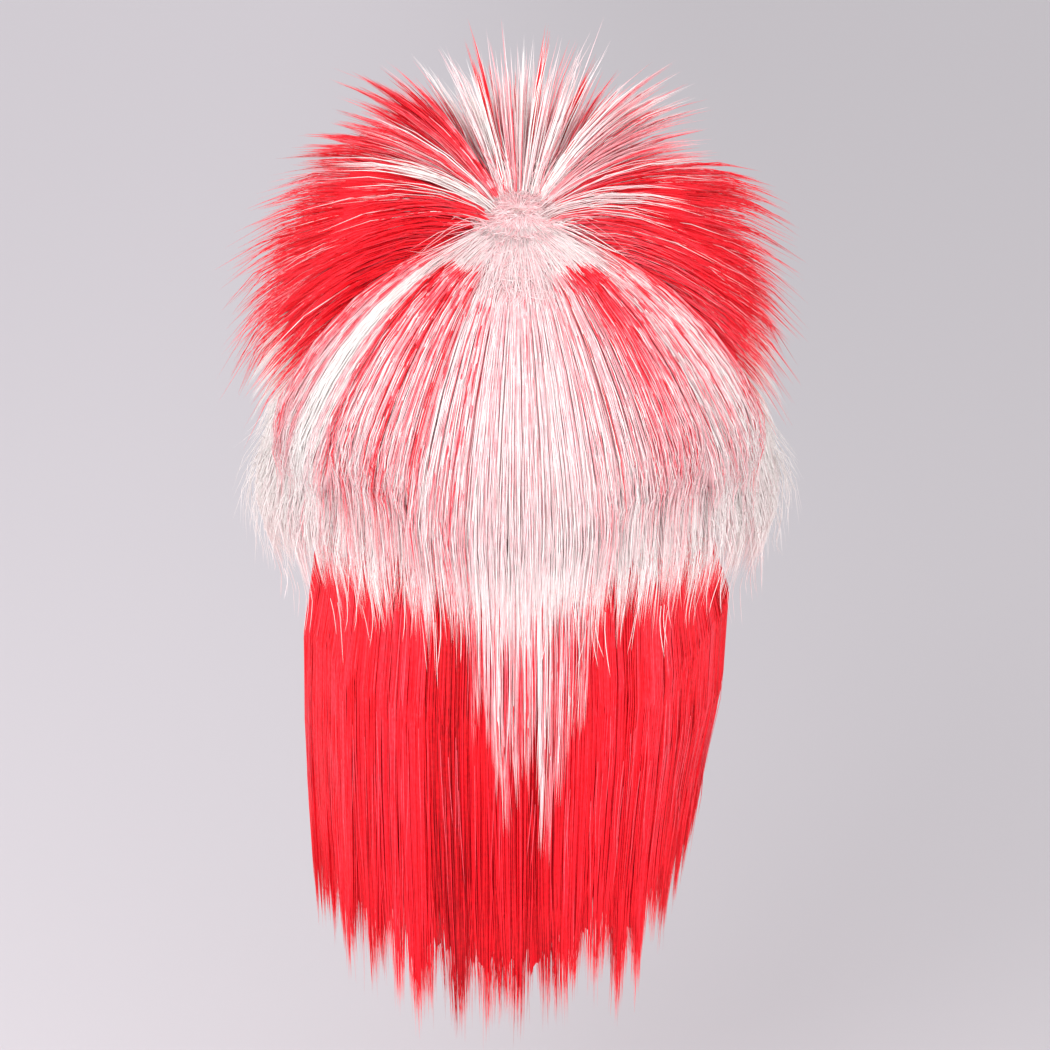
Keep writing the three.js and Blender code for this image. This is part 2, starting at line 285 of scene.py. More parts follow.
def node(tree, kind, links=None, stops=(), **settings):
    """Adds a node: links maps its inputs to other nodes' outputs or to values, settings are its properties,
    and stops, for a colour ramp, are pairs of a place and a hex colour."""
    made = tree.nodes.new(kind)
    for key, value in settings.items():
        setattr(made, key, value)
    for step, (place, text) in enumerate(stops):
        if step == len(made.color_ramp.elements):
            made.color_ramp.elements.new(place)
        made.color_ramp.elements[step].position = place
        made.color_ramp.elements[step].color = colour(text)
    for key, value in (links or {}).items():
        if isinstance(value, bpy.types.NodeSocket):
            tree.links.new(value, made.inputs[key])
        else:
            made.inputs[key].default_value = value
    return made


def start_material(name):
    """An empty node material."""
    material = bpy.data.materials.new(name)
    material.use_nodes = True
    material.node_tree.nodes.clear()
    return material, material.node_tree


# %% Modacrylic fibre
PATCH_LENGTH = 0.002
FIBRE_TONES = [
    (0.0, "#F5F0ED"),
    (0.2, "#F3D9DA"),
    (0.4, "#F2A9AF"),
    (0.6, "#F4505F"),
    (0.78, "#FB1B2E"),
    (0.9, "#E30A1A"),
    (1.0, "#B00010"),
]


def fibre_material():
    """The tone gives the colour. Along a thread the tone, the gloss and the height change a little, in
    patches of about 2 mm, because the fibres that cling together there are not quite parallel."""
    material, tree = start_material("modacrylic_fibre")
    tone = node(tree, "ShaderNodeAttribute", attribute_name="tone")
    place = node(tree, "ShaderNodeTexCoord")
    patches = node(tree, "ShaderNodeTexNoise", {
        "Vector": place.outputs["Object"], "Scale": 1 / PATCH_LENGTH, "Detail": 0.0,
    })
    shift = node(tree, "ShaderNodeMapRange", {"Value": patches.outputs["Fac"], "To Min": -0.05, "To Max": 0.05})
    total = node(tree, "ShaderNodeMath", {0: tone.outputs["Fac"], 1: shift.outputs[0]}, operation="ADD")
    shades = node(tree, "ShaderNodeValToRGB", {"Fac": total.outputs[0]}, FIBRE_TONES)
    gloss = node(tree, "ShaderNodeMapRange", {"Value": patches.outputs["Fac"], "To Min": 0.36, "To Max": 0.56})
    bump = node(tree, "ShaderNodeBump", {"Height": patches.outputs["Fac"], "Strength": 0.3, "Distance": 0.0002})
    shader = node(tree, "ShaderNodeBsdfPrincipled", {
        "Base Color": shades.outputs["Color"],
        "Roughness": gloss.outputs[0],
        "IOR": 1.5,
        "Specular IOR Level": 0.25,
        "Normal": bump.outputs["Normal"],
    })
    node(tree, "ShaderNodeOutputMaterial", {"Surface": shader.outputs["BSDF"]})
    return material


def combed_material():
    """The same fibre, lying close. Streaks of about 1 mm, longer than they are wide, shift the tone and the
    height: noise over the attribute across, stretched, so that it hardly changes along the hair."""
    material, tree = start_material("combed_modacrylic")
    tone = node(tree, "ShaderNodeAttribute", attribute_name="tone")
    across = node(tree, "ShaderNodeAttribute", attribute_name="across")
    place = node(tree, "ShaderNodeTexCoord")
    height = node(tree, "ShaderNodeSeparateXYZ", {"Vector": place.outputs["Object"]})
    slow = node(tree, "ShaderNodeMath", {0: height.outputs["Z"], 1: 12.0}, operation="MULTIPLY")
    wide = node(tree, "ShaderNodeMath", {0: across.outputs["Fac"], 1: 160.0}, operation="MULTIPLY")
    where = node(tree, "ShaderNodeCombineXYZ", {"X": wide.outputs[0], "Y": slow.outputs[0]})
    streaks = node(tree, "ShaderNodeTexNoise", {"Vector": where.outputs[0], "Scale": 1.0, "Detail": 3.0})
    shift = node(tree, "ShaderNodeMapRange", {"Value": streaks.outputs["Fac"], "To Min": -0.07, "To Max": 0.08})
    total = node(tree, "ShaderNodeMath", {0: tone.outputs["Fac"], 1: shift.outputs[0]}, operation="ADD")
    shades = node(tree, "ShaderNodeValToRGB", {"Fac": total.outputs[0]}, FIBRE_TONES)
    gloss = node(tree, "ShaderNodeMapRange", {"Value": streaks.outputs["Fac"], "To Min": 0.45, "To Max": 0.65})
    bump = node(tree, "ShaderNodeBump", {"Height": streaks.outputs["Fac"], "Strength": 0.3, "Distance": 0.0005})
    shader = node(tree, "ShaderNodeBsdfPrincipled", {
        "Base Color": shades.outputs["Color"],
        "Roughness": gloss.outputs[0],
        "IOR": 1.5,
        "Specular IOR Level": 0.25,
        "Normal": bump.outputs["Normal"],
    })
    node(tree, "ShaderNodeOutputMaterial", {"Surface": shader.outputs["BSDF"]})
    return material


FIBRE = fibre_material()
COMBED = combed_material()


def dress(piece, material, slot, *nodes):
    """Gives a piece its material and its body, and hides the nodes that it stands for. The slot is not used."""
    piece.data.materials.append(material)
    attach(piece, "root")
    if nodes:
        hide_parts(*nodes)


# %% [markdown]
# ## Cap and edge band
#
# The cap is a stretch net of fine white thread, and the band round its rim is ribbed elastic. Both stay as
# packed. They show only from below and through the open face, so a pattern of cells and a pattern of ribs are
# enough.

# %% Net and elastic
def net_material():
    """Knitted net: cells of 2.6 mm with threads round them, from the distance to each cell's edge, and painted
    shade in the holes.
    """
    material, tree = start_material("polyester_net")
    place = node(tree, "ShaderNodeTexCoord")
    cells = node(
        tree,
        "ShaderNodeTexVoronoi",
        {"Vector": place.outputs["Object"], "Scale": 1 / 0.0026, "Randomness": 0.25},
        feature="DISTANCE_TO_EDGE",
    )
    thread = node(tree, "ShaderNodeMapRange", {
        "Value": cells.outputs["Distance"], "From Max": 0.22, "To Min": 1.0, "To Max": 0.0,
    })
    # Painted shade: the holes in the middle of the cells are darker than the threads.
    hole_shade_cell_tones = [(0.0, "#B9AFA8"), (0.45, "#DDD6CF"), (1.0, "#F4F0EA")]
    shades = node(tree, "ShaderNodeValToRGB", {"Fac": thread.outputs[0]}, hole_shade_cell_tones)
    bump = node(tree, "ShaderNodeBump", {"Height": thread.outputs[0], "Strength": 0.8, "Distance": 0.0006})
    links = {"Base Color": shades.outputs["Color"], "Roughness": 0.85, "Normal": bump.outputs["Normal"]}
    shader = node(tree, "ShaderNodeBsdfPrincipled", links)
    node(tree, "ShaderNodeOutputMaterial", {"Surface": shader.outputs["BSDF"]})
    return material


def elastic_material():
    """Ribbed elastic: ribs 1.6 mm apart round the rim, crossed by fine uneven threads, with painted shade in
    the grooves.
    """
    material, tree = start_material("ribbed_elastic")
    place = node(tree, "ShaderNodeTexCoord")
    ribs = node(
        tree,
        "ShaderNodeTexWave",
        {"Vector": place.outputs["Object"], "Scale": 2 * math.pi / 20 / 0.0016, "Distortion": 0.4},
        bands_direction="Z",
    )
    threads = node(tree, "ShaderNodeTexNoise", {
        "Vector": place.outputs["Object"], "Scale": 1200.0, "Detail": 1.0,
    })
    both = {0: ribs.outputs["Fac"], 1: threads.outputs["Fac"]}
    height = node(tree, "ShaderNodeMath", both, operation="MULTIPLY")
    # Painted shade: the low places, between the ribs and along the threads, take the darker colour.
    groove_shade_rib_tones = [(0.0, "#CFC8C2"), (0.35, "#ECE7E2"), (0.7, "#F7F4F0")]
    shades = node(tree, "ShaderNodeValToRGB", {"Fac": height.outputs[0]}, groove_shade_rib_tones)
    bump = node(tree, "ShaderNodeBump", {"Height": height.outputs[0], "Strength": 0.7, "Distance": 0.0005})
    links = {"Base Color": shades.outputs["Color"], "Roughness": 0.75, "Normal": bump.outputs["Normal"]}
    shader = node(tree, "ShaderNodeBsdfPrincipled", links)
    node(tree, "ShaderNodeOutputMaterial", {"Surface": shader.outputs["BSDF"]})
    return material


def carried_over(name, material):
    """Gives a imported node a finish, in place of its plain one."""
    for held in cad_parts[name].material_slots:
        held.material = material


carried_over("cap_net", net_material())
carried_over("edge_band", elastic_material())

# %% [markdown]
# ## Hair that hangs
#
# The white band and the tail hang from lines of roots round the head. A sheet gives the surface that such a
# row follows, from its roots to its cut edge, and strands and core lie at a depth outside it.

# %% Hanging sheets
def hanging(wrap, root, drop, flare, set_back, table):
    """Makes a sheet: a point starts at its root on the cap, goes down to the drop, and spreads to the side by
    the flare and to the back by the set-back, by shares that the table gives for places along the hair."""

    def sheet(across, along):
        turn = mix(-wrap, wrap, across)
        point = from_crown(turn, root + 0 * turn, HAIR_START)
        side = np.where(turn < 0, column(table, along, 1), column(table, along, 2))
        point[..., 0] += flare * side * np.sin(np.radians(turn))
        point[..., 1] -= set_back * column(table, along, 3) * np.cos(np.radians(turn))
        point[..., 2] = mix(point[..., 2], -drop, along)
        return point

    return sheet


def off_sheet(sheet, across, along, depth):
    """Points at a depth outside a sheet, square to it. The way out is the product of the ways onward and
    across."""
    step = 1e-3
    beside = sheet(across + step, along) - sheet(across - step, along)
    onward = sheet(across, along + step) - sheet(across, np.maximum(0, along - step))
    out = np.cross(onward, beside)
    out /= np.linalg.norm(out, axis=-1, keepdims=True) + 1e-12
    return sheet(across, along) + out * depth[..., None]


def swell(thickness, along):
    """How thick a row has grown at a share of its length."""
    return mix(0.0024, thickness, np.minimum(1, along / 0.25))


def hanging_core(name, sheet, lengths, thickness, tones):
    """A core in the middle of a row's thickness: lengths gives the share of the sheet that each column
    reaches."""
    columns = len(lengths)
    along = lengths[:, None] * np.linspace(0, 1, 12)
    across = np.linspace(0.012, 0.988, columns)[:, None] + 0 * along
    faces = [off_sheet(sheet, across, along, swell(thickness, along) * share) for share in (0.76, 0.2)]
    return core_piece(name, *faces, tones(across, along))


# columns: place along the hair, shares of the flare on the left and on the right, share of the set-back
BAND_TABLE = [(0, 0, 0, 0), (0.45, 0.80, 0.78, 0.55), (0.72, 0.96, 0.92, 0.85), (1, 0.78, 0.74, 0.95)]
BAND_WRAP = 112
BAND_ROOT = 60
BAND_DROP = 0.190
BAND_FLARE = 0.055
BAND_SET_BACK = 0.046
CURTAIN_THICKNESS = 0.011
band_sheet = hanging(BAND_WRAP, BAND_ROOT, BAND_DROP, BAND_FLARE, BAND_SET_BACK, BAND_TABLE)

# %% [markdown]
# ## Hair that bursts from the whorl
#
# The wings, the crown, the fringe and the hair over the back of the head are all combed away from the whorl.
# One table for each says, for turns round the whorl, where the hair is rooted, where its tips lie and how far
# they stand off. Rows lie over each other, and strands fill the depth between them.

# %% Tables of spiky hair
# columns: turn, root angle, tip angle, stand-off as a share of the reach, droop
WING = [
    [(-149, 7, 30, 0.88, 0.5), (-110, 7, 44, 0.98, 0.6), (-63, 7, 46, 0.92, 0.7)],
    [(-149, 18, 46, 0.90, 0.5), (-108, 18, 60, 1.0, 0.6), (-63, 18, 62, 0.85, 0.7)],
    [(-149, 31, 64, 0.80, 0.5), (-104, 31, 75, 0.9, 0.65), (-63, 31, 78, 0.8, 0.7)],
    [(-149, 45, 84, 0.66, 0.6), (-100, 45, 91, 0.8, 0.7), (-63, 45, 92, 0.74, 0.7)],
]
CROWN = [
    [(151, 7, 25, 0.92, 0.4), (209, 7, 25, 0.92, 0.4)],
    [(151, 18, 41, 0.9, 0.45), (209, 18, 41, 0.9, 0.45)],
    [(151, 31, 58, 0.8, 0.5), (209, 31, 58, 0.8, 0.5)],
    [(151, 45, 78, 0.64, 0.6), (209, 45, 78, 0.64, 0.6)],
]
SPIKE_REACH = 0.080
BACK_REACH = 0.050
FRINGE_REACH = 0.024


def levels(table, turn, level, index):
    """A column of the rows' tables at a turn, blended between the two rows that the level lies between."""
    stack = np.stack([column(rows, turn, index) for rows in table])
    low = np.clip(np.floor(level).astype(int), 0, len(stack) - 2)
    above, below = (np.take_along_axis(stack, (low + k)[None], 0)[0] for k in (0, 1))
    return mix(above, below, level - low)


def burst(table, reach, turn, level, share, flip=1):
    """Points on hair from the whorl. With the share of its length, the angle from the whorl runs from root to
    tip, and the distance off the head climbs as a blend of s squared (stiff) and s times 2 minus s
    (drooping)."""
    root, tip, off, droop = (levels(table, turn, level, k) for k in (1, 2, 3, 4))
    climb = mix(share**2, share * (2 - share), droop)
    return from_whorl(turn * flip, mix(root, tip, share), HAIR_START + climb * off * reach)


def burst_core(name, table, path, tint, columns, reached, top=0.0, bottom=1.0, rows=8, inset=0.5):
    """A core between two levels of the path, out to a share of the length at each turn. The inset, in
    degrees, keeps its end faces under the strands, and a negative one runs it into its neighbour."""
    turn = np.linspace(table[0][0][0] + inset, table[0][-1][0] - inset, columns)
    out = ragged(columns, reached(turn))[:, None] * np.linspace(0, 1, rows)
    turns = turn[:, None] + 0 * out
    sheets = [path(turns, level + 0 * out, out) for level in (top, bottom)]
    near, middle, tip = (column(tint, turns, k) for k in (1, 2, 3))
    tones = np.where(out < 0.5, mix(near, middle, out * 2), mix(middle, tip, out * 2 - 1))
    return core_piece(name, *sheets, tones)


# %% [markdown]
# Hair that falls from the whorl comes to rest on the white band. So its path blends from the burst into the
# outside of the band's sheet, at the same bearing round the head.

# %% Hair that comes to rest
places = np.linspace(0.05, 0.95, 91)
section = band_sheet(places, 0.6 + 0 * places)
bearings = np.degrees(np.arctan2(section[:, 0], -section[:, 1]))


def fallen(table, reach, turn, level, share, hem, rest=0.66, flip=1):
    """Up to the rest share of its length it is burst hair. From there it runs down the outside of the band to
    the hem's depth under the crown, and the change is a smooth blend."""
    free = burst(table, reach, turn, level, np.clip(share / rest, 0, 1), flip)
    height = mix(free[..., 2], np.minimum(free[..., 2], -hem), np.clip((share - rest) / (1 - rest), 0, 1.1))
    across = np.interp(np.degrees(np.arctan2(free[..., 0], -free[..., 1])), bearings, places)
    root = band_sheet(across, 0 * across)[..., 2]
    along = np.clip((root - height) / (root + BAND_DROP), 0.02, 1.15)
    depth = swell(CURTAIN_THICKNESS, along) + 0.001 + 0.003 * (1 - np.clip(level, 0, 1))
    lying = off_sheet(band_sheet, across, along, depth)
    blend = np.clip((share - rest + 0.12) / 0.38, 0, 1)
    return mix(free, lying, (blend * blend * (3 - 2 * blend))[..., None])


# %% [markdown]
# ### Parts of a row
#
# One row can hold several kinds of hair: a dense body, open bundles that end in needles, single locks of
# another colour. A table lists these parts by where they grow and how they are gathered.

# %% Parts
def grown(parts, path, tints, points, pale=0.0, shorten=0.42):
    """Strands of all parts together: their paths, length shares and tones. Each part's columns: first and
    last turn, first and last level, strands, locks, gather, splay, length, and a tone or None for the
    table's."""
    paths, shares, tones = [], [], []
    for start, end, top, bottom, count, locks, gather, splay, size, tone in parts:
        width = 1.1 / math.sqrt(locks)
        across, deep, share, lock = comb(count, points, locks, width, gather, splay, shorten, 0.22, splay)
        turn = mix(start, end, across)
        tint = tints if tone is None else [(start, tone, tone, tone, 0.05), (end, tone, tone, tone, 0.05)]
        paths.append(path(turn, mix(top, bottom, deep), share * size))
        shares.append(share)
        tones.append(tinted(tint, turn, share, lock, pale))
    return np.concatenate(paths), np.concatenate(shares), np.concatenate(tones)


# %% [markdown]
# ### Wings
#
# Dense red hair that fans out to both sides. Towards the front it thins into separate bundles with white and
# pink in them, more so on the right, and thin white arcs lie over the left one. The inside is filled by a
# core, and the tips are left loose.

# %% Wings
# columns: turn, tone near the whorl, midway, at the tip, spread
WING_TINTS = {
    "left": [
        (-151, 0.20, 0.40, 0.50, 0.24),
        (-138, 0.40, 0.68, 0.74, 0.20),
        (-124, 0.50, 0.76, 0.80, 0.10),
        (-113, 0.45, 0.70, 0.74, 0.20),
        (-103, 0.62, 0.78, 0.78, 0.06),
        (-63, 0.74, 0.79, 0.76, 0.05),
    ],
    "right": [
        (-151, 0.12, 0.26, 0.42, 0.26),
        (-132, 0.12, 0.30, 0.48, 0.24),
        (-118, 0.20, 0.46, 0.64, 0.20),
        (-106, 0.58, 0.77, 0.77, 0.10),
        (-76, 0.70, 0.79, 0.78, 0.05),
        (-63, 0.50, 0.70, 0.75, 0.12),
    ],
}
# columns: first and last turn, first and last level, strands, locks, gather, splay, length, tone
WING_PARTS = {
    "left": [
        (-137, -128, -0.3, 0.3, 400, 15, 0.92, 0.015, 1.28, None),
        (-151, -142, 0.5, 1.5, 260, 20, 0.85, 0.025, 1.18, None),
        (-133, -122, 0.7, 1.6, 460, 24, 0.9, 0.015, 1.22, None),
        (-120, -112, -0.3, 0.3, 160, 12, 0.9, 0.015, 1.12, None),
        (-151, -118, 0.0, 0.8, 120, 30, 0.8, 0.03, 0.6, 0.6),
        (-151, -118, 0.8, 3.0, 380, 60, 0.8, 0.03, 0.64, 0.72),
        (-150, -100, 2.4, 3.9, 400, 60, 0.8, 0.03, 0.8, 0.76),
        (-118, -90, -0.3, 3.1, 1500, 190, 0.8, 0.012, 0.98, None),
        (-90, -63, -0.3, 2.3, 1150, 150, 0.8, 0.012, 0.98, None),
        (-118, -90, 0.4, 3.1, 620, 95, 0.95, 0.012, 1.22, None),
        (-90, -63, 0.4, 2.3, 300, 50, 0.95, 0.012, 1.16, None),
        (-118, -74, 0.4, 2.6, 60, 60, 0.5, 0.02, 1.3, 0.5),
        (-101, -93, -0.5, -0.3, 26, 5, 0.9, 0.05, 1.06, 0.03),
        (-88, -74, -0.4, 0.0, 18, 6, 0.9, 0.05, 0.95, 0.08),
        (-121, -105, -0.4, 0.6, 18, 9, 0.8, 0.05, 1.0, 0.1),
    ],
    "right": [
        (-138, -128, -0.3, 0.4, 340, 20, 0.92, 0.02, 1.32, None),
        (-151, -141, 0.2, 1.3, 160, 24, 0.7, 0.04, 1.08, None),
        (-124, -120, -0.3, 0.5, 90, 8, 0.9, 0.03, 1.1, 0.45),
        (-119, -110, -0.3, 0.4, 120, 24, 0.8, 0.04, 1.04, 0.42),
        (-120, -112, 0.8, 1.4, 380, 16, 0.92, 0.012, 1.26, 0.74),
        (-151, -112, 0.0, 3.0, 520, 80, 0.8, 0.03, 0.62, 0.4),
        (-150, -100, 2.4, 3.9, 400, 60, 0.8, 0.03, 0.8, 0.76),
        (-111, -90, -0.3, 3.1, 1250, 160, 0.8, 0.012, 0.98, None),
        (-90, -63, -0.3, 2.3, 1200, 150, 0.8, 0.012, 0.98, None),
        (-111, -90, 0.4, 3.1, 520, 85, 0.95, 0.012, 1.18, None),
        (-90, -63, 0.4, 2.3, 320, 55, 0.95, 0.012, 1.14, None),
        (-118, -74, 0.4, 2.6, 60, 60, 0.5, 0.02, 1.26, 0.45),
        (-82, -66, -0.5, -0.1, 40, 14, 0.8, 0.05, 1.0, 0.14),
        (-108, -96, -0.5, 0.2, 24, 10, 0.8, 0.05, 1.0, 0.16),
    ],
}
# the lowest hair of each wing is white, and the back edge falls over it
UNDER_PARTS = [(-100, -63, 2.4, 3.4, 650, 60, 0.85, 0.015, 1.06, 0.04)]
DRAPE_TABLE = [
    [(-84, 7, 70, 1.38, 0.75), (-68, 7, 76, 1.22, 0.75), (-54, 7, 80, 1.04, 0.75)],
    [(-84, 12, 80, 1.2, 0.75), (-68, 12, 82, 1.08, 0.75), (-54, 12, 84, 0.92, 0.75)],
]
DRAPE_TINTS = [(-84, 0.77, 0.79, 0.74, 0.06), (-66, 0.74, 0.75, 0.5, 0.14), (-54, 0.6, 0.45, 0.15, 0.2)]
DRAPE_PARTS = [(-84, -54, -0.3, 1.1, 720, 95, 0.85, 0.015, 0.95, None)]
WING_LEVELS = ("high", "upper", "middle", "low")


def wing_reach(turn):
    """How far out the core goes: short at the front, where the hair is in open bundles, and short at the back
    edge, so that strands cover its end."""
    front = mix(0.66, 0.12, np.clip((-turn - 104) / 30, 0, 1))
    return front * mix(0.4, 1.0, np.clip((-turn - 64) / 14, 0, 1))


for side, flip, size in (("left", 1, 1.0), ("right", -1, 0.95)):

    def spread_out(turn, level, share):
        """The wing's own fan, turned over for the right side."""
        return burst(WING, SPIKE_REACH * size, turn, level, share, flip)

    def draped(turn, level, share):
        """Longer hair over the fan's back edge."""
        return burst(DRAPE_TABLE, BACK_REACH * size, turn, level, share, flip)

    rows = [f"wing_{side}_{row}" for row in WING_LEVELS]
    for kind, parts, path, tints, pale, slot in (
        ("hair", WING_PARTS[side], spread_out, WING_TINTS[side], 0.015, "red_hair"),
        ("drape", DRAPE_PARTS, draped, DRAPE_TINTS, 0.06, "red_hair"),
        ("under", UNDER_PARTS, spread_out, WING_TINTS[side], 0.0, "white_hair"),
    ):
        paths, share, tones = grown(parts, path, tints, 5, pale)
        hair = strands_piece(f"wing_{side}_{kind}", paths, taper(share.shape, 0.00031), tones)
        dress(hair, FIBRE, slot, *rows)
    core = burst_core(
        f"wing_{side}_core", WING, spread_out, WING_TINTS[side], 120, wing_reach, 0.2, 2.5, inset=8
    )
    dress(core, COMBED, "red_hair", *rows)

# %% [markdown]
# ### Crown
#
# White, pink and a few red needles that stand straight up between the wings, with daylight between them.

# %% Crown
CROWN_TINTS = [(148, 0.20, 0.18, 0.28, 0.18), (180, 0.18, 0.14, 0.20, 0.18), (212, 0.20, 0.18, 0.28, 0.18)]
CROWN_PARTS = [
    (151, 209, -0.3, 2.8, 540, 70, 0.95, 0.02, 1.16, None),
    (151, 209, 0.0, 2.8, 400, 80, 0.85, 0.03, 0.62, None),
    (151, 209, 0.0, 2.6, 150, 60, 0.6, 0.05, 1.0, 0.3),
    (151, 209, 2.8, 3.9, 320, 40, 0.8, 0.03, 0.8, None),
    (148, 155, 0.0, 2.6, 100, 20, 0.6, 0.03, 0.8, 0.24),
    (205, 212, 0.0, 2.6, 100, 20, 0.6, 0.03, 0.8, 0.24),
    (194, 197, 0.2, 0.5, 40, 2, 0.95, 0.1, 1.12, 0.8),
    (170, 173, 0.1, 0.4, 40, 2, 0.95, 0.1, 1.12, 0.8),
    (156, 159, 0.5, 0.8, 34, 2, 0.95, 0.1, 1.08, 0.84),
    (181, 184, 0.9, 1.3, 30, 2, 0.95, 0.1, 1.0, 0.9),
    (187, 189, 0.9, 1.3, 26, 2, 0.95, 0.1, 1.0, 0.86),
    (178, 180, -0.1, 0.1, 20, 1, 0.97, 0.05, 1.2, 0.0),
    (201, 204, -0.1, 0.3, 30, 2, 0.95, 0.1, 1.1, 0.04),
]


def upright(turn, level, share):
    """The crown's own fan."""
    return burst(CROWN, SPIKE_REACH, turn, level, share)


paths, share, tones = grown(CROWN_PARTS, upright, CROWN_TINTS, 5)
crown_nodes = [f"crown_{row}" for row in WING_LEVELS]
dress(strands_piece("crown_hair", paths, taper(share.shape, 0.00034), tones), FIBRE, "white_hair", *crown_nodes)
core = burst_core("crown_core", CROWN, upright, CROWN_TINTS, 50, lambda turn: 0.24 + 0 * turn, 0.3, 2.6)
dress(core, COMBED, "white_hair", *crown_nodes)

# %% [markdown]
# ### Whorl
#
# Where all the rows meet, a small closure covers their roots. On the real wig it is matted hair that fades
# into the rows round it. So a thin felted pad lies over the roots, and short fibres in every direction lie
# over the pad, with pale strands that run out of it.

# %% Whorl
# columns: turn, root angle, tip angle, stand-off as a share of the reach, droop
WHORL = [
    (-209, 7, 25, 0.92, 0.4),
    (-151, 7, 25, 0.92, 0.4),
    (-149, 7, 30, 0.88, 0.5),
    (-110, 7, 44, 0.98, 0.6),
    (-66, 7, 46, 0.92, 0.7),
    (-58, 7, 80, 0.72, 0.8),
    (58, 7, 80, 0.72, 0.8),
    (66, 7, 46, 0.88, 0.7),
    (110, 7, 44, 0.94, 0.6),
    (149, 7, 30, 0.85, 0.5),
    (151, 7, 25, 0.92, 0.4),
]
WHORL_TINTS = [
    (-209, 0.16, 0.22, 0.3, 0.14),
    (-150, 0.22, 0.4, 0.55, 0.2),
    (-125, 0.25, 0.6, 0.74, 0.16),
    (-90, 0.25, 0.6, 0.76, 0.16),
    (-60, 0.24, 0.34, 0.4, 0.14),
    (0, 0.26, 0.2, 0.12, 0.08),
    (60, 0.14, 0.2, 0.3, 0.14),
    (90, 0.28, 0.55, 0.7, 0.18),
    (120, 0.18, 0.34, 0.5, 0.18),
    (151, 0.16, 0.22, 0.3, 0.16),
]


def over_roots(turn, down, lift):
    """Points over the roots of all the rows: a low mound, 10 mm high at the whorl, and then as burst climbs."""
    tip, off, droop = (column(WHORL, turn, k) for k in (2, 3, 4))
    share = np.clip((down - 7) / (tip - 7), 0, 1)
    climb = mix(share**2, share * (2 - share), droop)
    mound = 0.0035 + 0.0065 * np.exp(-((down / 13) ** 2))
    return from_whorl(turn, down, mound + lift + climb * off * SPIKE_REACH)


def swirled(turn, level, share):
    """Strands out of the mat: their turn is off by a random angle that dies away outwards."""
    swirl = RANDOM.normal(0, 6, (len(turn), 1)) * (1 - np.clip(share / 0.3, 0, 1)) ** 1.5
    return over_roots(turn + swirl, mix(0.5 + 7 * level, column(WHORL, turn, 2), share), 0.001 + 0.0015 * level)


def matted(count, points):
    """Short fibres over the closure. Each starts at a random place in an oval about the whorl, longer down
    the back of the head, heads outwards, more exactly so near the rim, and bends in a low arch. Sideways and
    backward places are in degrees from the whorl."""
    spin, reach = RANDOM.uniform(0, 2 * math.pi, (count, 1)), RANDOM.random((count, 1)) ** 0.6
    sideways = 6 * reach * np.sin(spin)
    backward = 4 + np.where(np.cos(spin) > 0, 24, 8) * reach * np.cos(spin)
    heading = np.arctan2(sideways, backward) + RANDOM.normal(0, 0.9, (count, 1)) * (1.2 - reach)
    share = np.linspace(0, 1, points) + 0 * spin
    angle = heading + RANDOM.normal(0, 0.5, (count, 1)) * share
    length = RANDOM.uniform(3, 7, (count, 1)) * share
    sideways, backward = sideways + length * np.sin(angle), backward + length * np.cos(angle)
    lift = 0.0018 + 0.006 * share * (1 - share) * RANDOM.random((count, 1))
    turn = (np.degrees(np.arctan2(sideways, backward)) + 209) % 360 - 209
    return over_roots(turn, np.hypot(sideways, backward), lift), share


WHORL_PARTS = [
    (-209, 151, 0.3, 1.2, 800, 160, 0.1, 0.01, 0.4, None),
    (-50, 50, 0.4, 1.4, 450, 60, 0.1, 0.02, 0.42, 0.16),
]
WHORL_FIBRES = 2300
paths, share, tones = grown(WHORL_PARTS, swirled, WHORL_TINTS, 5)
dress(strands_piece("whorl_hair", paths, taper(share.shape, 0.00024, 0.15), tones), FIBRE, "white_hair")
paths, share = matted(WHORL_FIBRES, 4)
tones = RANDOM.uniform(0.18, 0.34, (WHORL_FIBRES, 1)) + 0 * share
dress(strands_piece("whorl_fibres", paths, taper(share.shape, 0.0002, 0.4), tones), FIBRE, "white_hair")

mat_turn = np.linspace(-209, 151, 145)[:, None]
outward = np.linspace(0, 1, 9)
mat_down = (8 + 17 * np.clip(np.cos(np.radians(mat_turn)), 0, 1) ** 2) * outward
upper = over_roots(mat_turn + 0 * mat_down, mat_down, 0.0018 * (1 - outward**2))
lower = over_roots(mat_turn + 0 * mat_down, mat_down, -0.0002 - 0.003 * (1 - outward**2))
mat = core_piece("whorl_mat", upper, lower, 0 * mat_down)


def felt_material():
    """Matted fibre: short tangled streaks of about 1 mm in pale pink and beige, without gloss."""
    material, tree = start_material("matted_modacrylic")
    place = node(tree, "ShaderNodeTexCoord")
    tangle = node(tree, "ShaderNodeTexNoise", {
        "Vector": place.outputs["Object"], "Scale": 900.0, "Detail": 4.0, "Distortion": 1.5,
    })
    mat_tones = [(0.3, "#D9B0AC"), (0.5, "#E4C2BE"), (0.7, "#EDD6D2")]
    shades = node(tree, "ShaderNodeValToRGB", {"Fac": tangle.outputs["Fac"]}, mat_tones)
    bump = node(tree, "ShaderNodeBump", {"Height": tangle.outputs["Fac"], "Strength": 0.9, "Distance": 0.0008})
    links = {"Base Color": shades.outputs["Color"], "Roughness": 0.8, "Normal": bump.outputs["Normal"]}
    shader = node(tree, "ShaderNodeBsdfPrincipled", links)
    node(tree, "ShaderNodeOutputMaterial", {"Surface": shader.outputs["BSDF"]})
    return material


dress(mat, felt_material(), "white_hair", "whorl_closure")

# %% [markdown]
# ### Fringe
#
# Over the forehead the same three colours lie close to the head and end in short points.

# %% Fringe
def fringe_table(start, end, tip):
    """Two rows that lie close together, with the same columns as the wings' rows."""
    return [[(turn, root, tip, off, 0.9) for turn, root in ((start, 64), (end, 65))] for off in (1.0, 0.6)]


